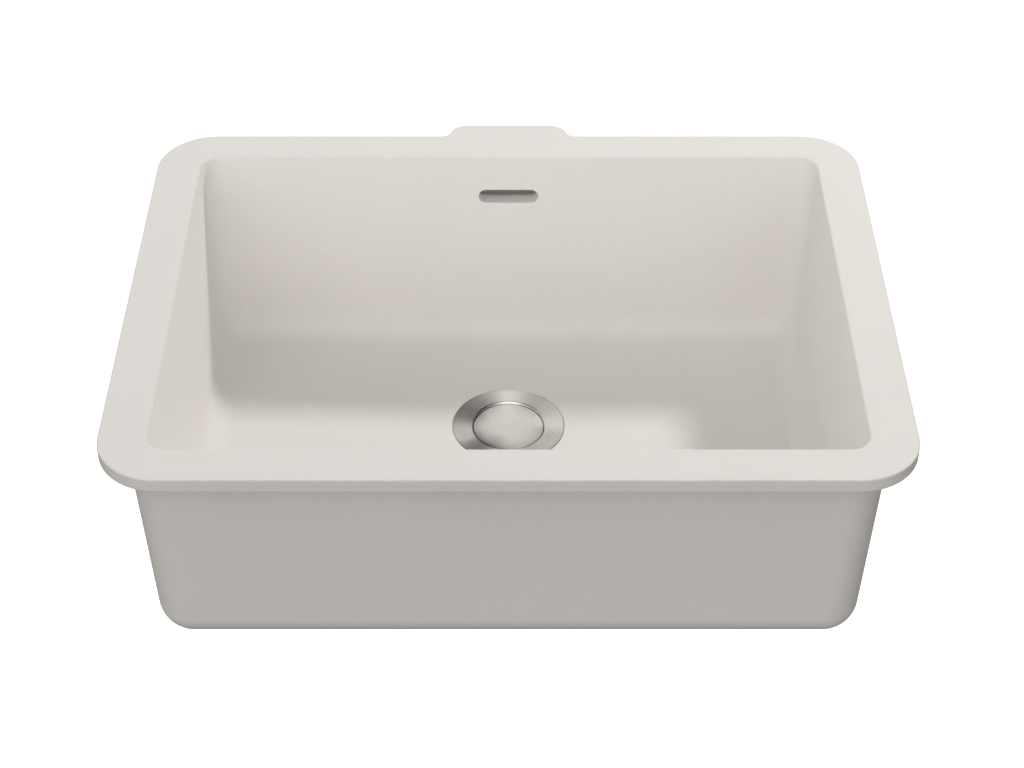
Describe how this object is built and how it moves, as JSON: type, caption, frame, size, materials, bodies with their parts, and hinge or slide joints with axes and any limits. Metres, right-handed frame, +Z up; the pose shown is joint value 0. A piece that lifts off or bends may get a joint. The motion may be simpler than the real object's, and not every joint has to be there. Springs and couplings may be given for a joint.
{
  "type": "undermount kitchen sink",
  "caption": "Single-bowl undermount sink in cast composite, with a flat flange, overflow slot and pipe, and a push-open basket strainer in the floor.",
  "frame": {"origin": "centre of the bowl's mouth, in the plane of the flange's top face, which bonds to the underside of a worktop", "axes": "+X to the right along the long side, +Y to the back wall with the overflow slot, +Z up"},
  "size_m": [0.7, 0.545, 0.3325],
  "materials": {
    "composite": "matte",
    "drain_steel": "satin",
    "basket_steel": "satin",
    "zinc_steel": "satin",
    "spring_steel": "satin",
    "waste_plastic": "satin",
    "overflow_plastic": "satin",
    "pipe_plastic": "satin",
    "nut_plastic": "matte",
    "click_plastic": "satin",
    "rubber_black": "matte",
    "brass": "satin"
  },
  "bodies": {
    "sink": {"sink_bowl": "composite", "overflow_inserts": "brass", "overflow_gasket": "rubber_black", "overflow_housing": "overflow_plastic", "overflow_screws": "zinc_steel", "overflow_upper_pipe": "pipe_plastic", "overflow_elbow": "overflow_plastic", "overflow_lower_pipe": "pipe_plastic", "compression_nuts": "nut_plastic", "compression_seals": "rubber_black", "strainer_cup": "drain_steel", "cup_gasket": "rubber_black", "body_gasket": "rubber_black", "waste_body": "waste_plastic", "waste_inlet": "waste_plastic", "waste_tail": "waste_plastic", "waste_bridge": "waste_plastic", "clamp_insert": "brass", "clamp_screw": "zinc_steel", "click_housing": "click_plastic", "click_cap": "click_plastic", "lifter_spring": "spring_steel"},
    "lifter": {"lifter_pin": "click_plastic"},
    "rotor": {"cam_rotor": "click_plastic"},
    "plug": {"plug_cap": "drain_steel", "seal_carrier": "click_plastic", "plug_seal": "rubber_black", "plug_stem": "click_plastic", "strainer_basket": "basket_steel", "basket_nut": "click_plastic"}
  },
  "joints": [
    {"name": "push_open", "type": "slide", "parent": "sink", "child": "lifter", "axis": [0, 0, 1], "range_m": [0, 0.009], "deforming": ["lifter_spring"]},
    {"name": "rotor_turn", "type": "hinge", "parent": "lifter", "child": "rotor", "pos_m": [0, 0.06, -0.2655], "axis": [0, 0, 1], "continuous": true},
    {"name": "basket_lift_out", "type": "slide", "parent": "lifter", "child": "plug", "axis": [0, 0, 1], "range_m": [0, 0.272]}
  ]
}
